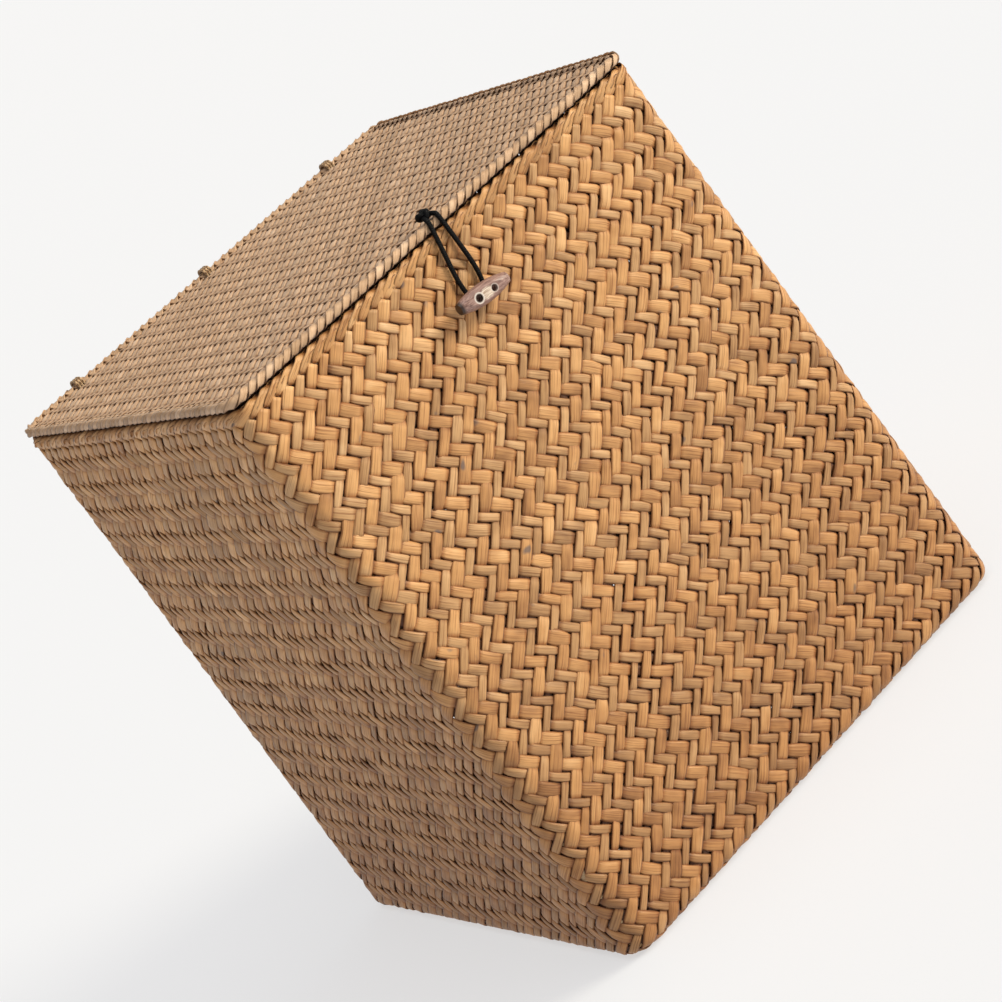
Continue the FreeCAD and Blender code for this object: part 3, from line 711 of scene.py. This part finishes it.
def flatStrands(name, setup, halfX, halfY, level, body, node, material):
    # Two families of straight strands on the diagonals of a cell, cut to a rounded rectangle and
    # round any slots. A strand's rows of crossings are half a cell apart.
    cellX, cellY = setup["cell"]
    corner = setup["corner"]
    reachRows = 2 * halfY / cellY + 2
    pitch = cellX * cellY / math.hypot(cellX, cellY)
    spread = int(halfX / cellX + reachRows / 2) + 2
    number = np.arange(-spread, spread + 1)
    step = 1 / setup["samplesPerRow"]
    rows = np.arange(-reachRows, reachRows, step)
    for family, sign in (("rising", 1), ("falling", -1)):
        tone, kind, share = strandRandoms(len(number), 0.05)
        strand = np.repeat(number, len(rows))
        row = np.tile(rows, len(number))
        x = (strand + sign * row / 2) * cellX
        y = row / 2 * cellY
        outside = np.hypot(np.maximum(np.abs(x) - (halfX - corner), 0),
                           np.maximum(np.abs(y) - (halfY - corner), 0))
        keep = outside <= corner
        for slotX, halfSlot, slotY in setup["slots"]:
            keep &= (np.abs(x - slotX) > halfSlot) | (y < slotY)
        strand, row, x, y = strand[keep], row[keep], x[keep], y[keep]
        breaks = (strand[1:] != strand[:-1]) | (row[1:] - row[:-1] > 1.5 * step)
        run = np.r_[0, np.cumsum(breaks)]
        long = np.bincount(run)[run] >= 3
        strand, row, x, y, run = strand[long], row[long], x[long], y[long], run[long]
        which = strand + spread
        phase = row if setup["ribsAcross"] else 2 * x / cellX
        height = sign * twill(phase, setup["duty"])
        place = np.stack([x, y, level + height * setup["lift"]], -1)
        shown = (height + 1) / 2
        width = pitch / 2 * share[which] * setup["fullness"][family] * (1 - setup["narrowing"] * (1 - shown))
        coord = np.stack([row * math.hypot(cellX, cellY) / 2, which + setup["number"] * sign], -1)
        look = np.stack([tone[which], kind[which], shown], -1)
        piece = ribbonMesh("%s_%s" % (name, family), run, place, np.broadcast_to(upward, place.shape),
                           width, setup["strandThickness"] / 2, coord, look, material)
        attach(piece, body)
        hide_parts(node)


baseLow, baseHigh = [np.array(corner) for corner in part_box("woven_base")]
baseSetup = {
    "cell": (12.2 * millimetre, 12.5 * millimetre), "samplesPerRow": 3, "duty": 0.0,
    "lift": 0.98 * millimetre, "strandThickness": 1.9 * millimetre, "ribsAcross": True,
    "edge": 6 * millimetre, "corner": 14 * millimetre, "slots": (),
    "fullness": {"rising": 1.0, "falling": 1.0}, "narrowing": 0.10, "number": 500.0,
    "raise": 0.5 * millimetre,
}
flatStrands("baseStrands", baseSetup, baseHigh[0] - baseSetup["edge"], baseHigh[1] - baseSetup["edge"],
            (baseLow[2] + baseHigh[2]) / 2 + baseSetup["raise"],
            "basket", "woven_base", wallRush)

lidLow, lidHigh = [np.array(corner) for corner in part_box("lid_panel")]
tiePlaces = [(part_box(label)[0][0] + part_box(label)[1][0]) / 2
             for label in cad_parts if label.startswith("hinge_tie")]
lidSetup = {
    "cell": (7.6 * millimetre, 9.1 * millimetre), "samplesPerRow": 3, "duty": -0.42,
    "lift": 0.85 * millimetre, "strandThickness": 1.6 * millimetre, "ribsAcross": False,
    "corner": 10 * millimetre, "underBinding": 3 * millimetre,
    # Each slot: its middle, half its width, and how far back it starts.
    "slots": [(place, 4.25 * millimetre, 175.3 * millimetre) for place in tiePlaces],
    "fullness": {"rising": 1.04, "falling": 0.74}, "narrowing": 0.10, "number": 500.0,
}
flatStrands("lidStrands", lidSetup, lidHigh[0] + lidSetup["underBinding"],
            lidHigh[1] + lidSetup["underBinding"], (lidLow[2] + lidHigh[2]) / 2,
            "lid", "lid_panel", lidRush)
print("base and lid plaited")


def hoopSurface(along, around, halfX, halfY, corner, level, section):
    # Point and normal on a ring: a rounded section carried round a rounded rectangle. around
    # starts at the middle of the section's underside and goes to the outside first.
    path, out = roundedOutline(along, halfX, halfY, corner)
    profile, face = roundedOutline(around, section[0], section[1], section[2])
    place = np.concatenate([path + out * profile[:, :1], (level + profile[:, 1])[:, None]], -1)
    normal = np.concatenate([out * face[:, :1], face[:, 1:]], -1)
    return place, normal


def edgeStrips(name, setup, start, tone, kind, share, outline, level, body, node, material):
    # Each strip starts at its own place along the edge and goes round the section while it
    # advances by "slant" strips. The first part of the way it may dip in behind the wall.
    # It gets painted shade by exp(-((around - crevice) / reach)^2), in the crevice between rim
    # and lid, and painted shade where it dips in behind the wall.
    halfX, halfY, corner = outline
    count, samples = len(start), setup["samples"]
    strand = np.repeat(np.arange(count), samples)
    way = np.tile(np.linspace(0, 1, samples), count)
    low, high = setup["around"]
    around = low + (high - low) * way
    along = start[strand] + setup["slant"] * way / count
    centre, normal = hoopSurface(along, around, halfX, halfY, corner, level, setup["section"])
    flank = np.clip((np.abs(centre[:, 0]) - halfX + corner) / corner, 0, 1)
    centre[:, 2] = level + (centre[:, 2] - level) * (1 - setup["flankFlat"] * flank)
    dip = np.clip(1 - way / setup["dipShare"], 0, 1) ** 2
    centre = centre - normal * (dip * setup["dip"])[:, None] - upward * (dip * setup["dip"])[:, None]
    wobble = 1 + setup["spread"] * random.standard_normal(count)
    shingle = (setup["shingle"] * (1 + 0.3 * random.standard_normal(count)))[strand]
    direction = unit(np.roll(centre, -1, 0) - centre)
    direction[samples - 1::samples] = direction[samples - 2::samples]
    lean = unit(normal + shingle[:, None] * unit(np.cross(direction, normal)))
    half = setup["width"] / 2 * (wobble * (0.85 + 0.15 * share))[strand]
    coord = np.stack([way * setup["length"], strand + setup["number"]], -1)
    crevice = np.exp(-((around - setup["crevice"][0]) / setup["crevice"][1]) ** 2)
    # Painted shade in the crevice between rim and lid, and where the strip dips behind the wall.
    shown = setup["shown"] - setup["dipShade"] * dip - setup["creviceShade"] * crevice
    look = np.stack([tone[strand], kind[strand] * setup["greyShare"], shown], -1)
    piece = ribbonMesh(name, strand, centre, lean, half, setup["thickness"] / 2, coord, look, material,
                       border=setup["border"])
    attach(piece, body)
    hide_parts(node)


edgeShades = {"shown": 0.95, "dipShade": 0.55, "creviceShade": 0.95}
rimSetup = {
    "width": 8.4 * millimetre, "thickness": 0.9 * millimetre, "slant": 4.3, "samples": 24,
    "around": (0.13, 0.86), "section": (3.65 * millimetre, 4.7 * millimetre, 2.4 * millimetre),
    "shingle": 0.20, "spread": 0.05, "dip": 2.0 * millimetre, "dipShare": 0.16, "flankFlat": 0.0,
    "length": 55 * millimetre, "number": 3000.0, "greyShare": 0.5, "crevice": (0.52, 0.085),
    "border": 0.8, "across": 8.5 * millimetre, "sink": 0.8 * millimetre, **edgeShades,
}
foldHalf = rimSetup["across"] / 2
edgeStrips("rimFoldStrips", rimSetup, risingTops["along"], risingTops["tone"], risingTops["kind"],
           risingTops["share"],
           (rimHalf[0] - foldHalf, rimHalf[1] - foldHalf, wallSetup["cornerTop"] - foldHalf),
           (rimLow[2] + rimHigh[2]) / 2 - rimSetup["sink"], "basket", "rim_fold", wallRush)

bindingLow, bindingHigh = [np.array(corner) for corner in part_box("lid_binding")]
bindingEdge = bindingHigh[2] - bindingLow[2]
bindingSetup = {
    "strips": 184, "width": 6.6 * millimetre, "thickness": 0.9 * millimetre, "slant": 2.7, "samples": 18,
    "around": (-0.16, 0.70), "section": (3.45 * millimetre, 2.9 * millimetre, 2.3 * millimetre),
    "shingle": 0.18, "spread": 0.05, "dip": 0.0, "dipShare": 0.1, "flankFlat": 0.2,
    "length": 28 * millimetre, "number": 5000.0, "greyShare": 0.6, "corner": 15 * millimetre,
    "crevice": (-0.02, 0.12), "border": 0.9, "paler": 0.15, **edgeShades,
}
bindingTone, bindingKind, bindingShare = strandRandoms(bindingSetup["strips"], 0.05)
edgeStrips("lidEdgeWraps", bindingSetup, np.arange(bindingSetup["strips"]) / bindingSetup["strips"],
           bindingTone + bindingSetup["paler"], bindingKind, bindingShare,
           (bindingHigh[0] - bindingEdge / 2, bindingHigh[1] - bindingEdge / 2,
            bindingSetup["corner"] - bindingEdge / 2),
           (bindingLow[2] + bindingHigh[2]) / 2, "lid", "lid_binding", lidRush)
print("rim and lid edge bound")


twineSection = roundSection(8)
tieSetup = {"turns": 3, "spacing": 2.45 * millimetre, "radius": 1.2 * millimetre, "samples": 40,
            "corner": 4.25 * millimetre, "cord": 2.5 * millimetre, "number": 7000.0}


def hingeTie(label, setup):
    # Closed turns side by side on the tie's centre line, a rounded rectangle seen from the side.
    low, high = [np.array(corner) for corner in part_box(label)]
    middle = (low + high) / 2
    halfY, halfZ = [(high[k] - low[k] - setup["cord"]) / 2 for k in (1, 2)]
    turns, samples = setup["turns"], setup["samples"]
    strand = np.repeat(np.arange(turns), samples)
    way = np.tile(np.arange(samples) / samples, turns)
    path, out = roundedOutline(way, halfY, halfZ, setup["corner"])
    x = middle[0] + (strand - (turns - 1) / 2) * setup["spacing"]
    centre = np.stack([x, middle[1] + path[:, 0], middle[2] + path[:, 1]], -1)
    normal = np.stack([np.zeros(len(way)), out[:, 0], out[:, 1]], -1)
    length = 4 * (halfY + halfZ)
    coord = np.stack([way * length, strand + setup["number"]], -1)
    look = np.ones((len(way), 3))
    piece = ribbonMesh(label + "_turns", strand, centre, normal, setup["radius"], setup["radius"],
                       coord, look, twine, twineSection, closed=True)
    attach(piece, "basket")
    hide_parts(label)


for label in list(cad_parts):
    if label.startswith("hinge_tie"):
        hingeTie(label, tieSetup)
paint(plainFibre("lashingTwine", (0.50, 0.34, 0.19), (0.26, 0.16, 0.08), (900, 900, 900), 0.7),
      "post_lashings", "toggle_thread")
print("ties bound")


elasticSetup = {
    "route": [(-0.0022, -0.1826, 0.49165), (-0.0038, -0.187175, 0.49125), (-0.0040, -0.19025, 0.488175),
              (-0.0170, -0.191549, 0.42625), (0.0050, -0.191549, 0.42625), (0.0050, -0.19025, 0.488175),
              (0.0048, -0.187175, 0.49125), (0.0022, -0.1826, 0.49165)],
    "diameter": 3.4 * millimetre, "sides": 14, "face": (0.0, -1.0, 0.25),
    "bendStart": (0.001, -0.1830, 0.4914), "bendEnd": (0.001, -0.1888, 0.4906),
}
knotSetup = {"tube": 1.75 * millimetre, "size": (4.9, 4.6, 1.95), "samples": 90, "sides": 12,
             "shift": (-1.0, -8.3, 1.5), "face": (0.31, 0.17, 0.93),
             "turnLength": 6 * millimetre}    # size and shift are in millimetres


def splinePoints(route):
    # Smooth line with the route's points as control points.
    data = bpy.data.curves.new("route", "CURVE")
    data.dimensions = "3D"
    data.resolution_u = 24
    spline = data.splines.new("NURBS")
    spline.points.add(len(route) - 1)
    spline.points.foreach_set("co", np.c_[np.array(route), np.ones(len(route))].ravel())
    spline.order_u = 3
    spline.use_endpoint_u = True
    holder = bpy.data.objects.new("route", data)
    mesh = bpy.data.meshes.new_from_object(holder)
    points = np.empty(len(mesh.vertices) * 3)
    mesh.vertices.foreach_get("co", points)
    bpy.data.objects.remove(holder)
    return points.reshape(-1, 3)


def elasticLoop(setup):
    # A round tube along the route's smooth line. Its "face" only sets where the section starts.
    line = splinePoints(setup["route"])
    steps = np.linalg.norm(np.diff(line, axis=0), axis=1)
    along = np.r_[0, np.cumsum(steps)]
    count = len(line)
    hint = np.broadcast_to(np.array(setup["face"]), line.shape)
    coord = np.stack([along, np.zeros(count)], -1)
    radius = setup["diameter"] / 2
    piece = ribbonMesh("elasticLoopCord", np.zeros(count, int), line, hint, radius, radius, coord,
                       np.ones((count, 3)), elasticBlack, roundSection(setup["sides"]))
    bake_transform(piece)
    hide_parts("elastic_loop")
    print("elastic loop %.1f mm long" % (along[-1] / millimetre))


def elasticKnot(setup):
    # Overhand knot: x = sin t + 2 sin 2t, y = cos t - 2 cos 2t, height = -sin 3t.
    low, high = [np.array(corner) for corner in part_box("elastic_knot")]
    turn = np.arange(setup["samples"]) / setup["samples"] * 2 * math.pi
    shape = np.stack([(np.sin(turn) + 2 * np.sin(2 * turn)) / 3, (np.cos(turn) - 2 * np.cos(2 * turn)) / 3,
                      -np.sin(3 * turn)], -1)
    middle = (low + high) / 2 + np.array(setup["shift"]) * millimetre
    centre = middle + shape * np.array(setup["size"]) * millimetre
    after = np.roll(centre, -1, 0) - np.roll(centre, 1, 0)
    normal = unit(np.cross(after, np.array(setup["face"])))
    coord = np.stack([turn * setup["turnLength"], np.zeros(len(turn))], -1)
    piece = ribbonMesh("elasticKnotCord", np.zeros(len(turn), int), centre, normal, setup["tube"],
                       setup["tube"], coord, np.ones((len(turn), 3)), elasticBlack,
                       roundSection(setup["sides"]), closed=True)
    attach(piece, "lid")
    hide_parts("elastic_knot")


elasticLoop(elasticSetup)
elasticKnot(knotSetup)
print("elastic tied")
